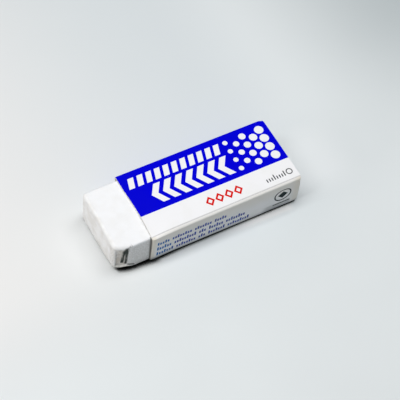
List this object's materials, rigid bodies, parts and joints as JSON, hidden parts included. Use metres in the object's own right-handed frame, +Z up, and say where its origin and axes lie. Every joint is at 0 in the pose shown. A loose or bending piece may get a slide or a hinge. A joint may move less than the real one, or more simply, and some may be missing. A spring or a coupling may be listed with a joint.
{
  "type": "rubber eraser",
  "caption": "White block eraser with rounded edges and a rubbed corner, held in a snug folded card sleeve printed blue and white, with its end bare for rubbing out.",
  "frame": {"origin": "middle of the footprint, on the surface that the sleeve's underside lies on", "axes": "+X along the eraser from its bare end to the sleeve's back end, +Y from the side with small print to the side with the glued lap, +Z up through the printed top panel"},
  "size_m": [0.0644, 0.025, 0.0136],
  "materials": {
    "vinyl_block": "matte, smooth, with graphite smears on the rubbed corner",
    "card": "smooth coated white card",
    "blue_ink": "printed ink under a thin satin varnish",
    "red_ink": "printed ink",
    "black_ink": "printed ink",
    "navy_ink": "printed ink",
    "grey_ink": "printed ink"
  },
  "bodies": {
    "block": {"eraser_block": "vinyl_block"},
    "sleeve": {"sleeve": "card", "blue_print": "blue_ink", "red_print": "red_ink", "black_print": "black_ink", "side_print": "navy_ink", "seal_print": "grey_ink"}
  },
  "joints": [
    {"name": "sleeve_slide", "type": "slide", "parent": "block", "child": "sleeve", "axis": [1, 0, 0], "range_m": [-0.0645, 0.052]}
  ]
}
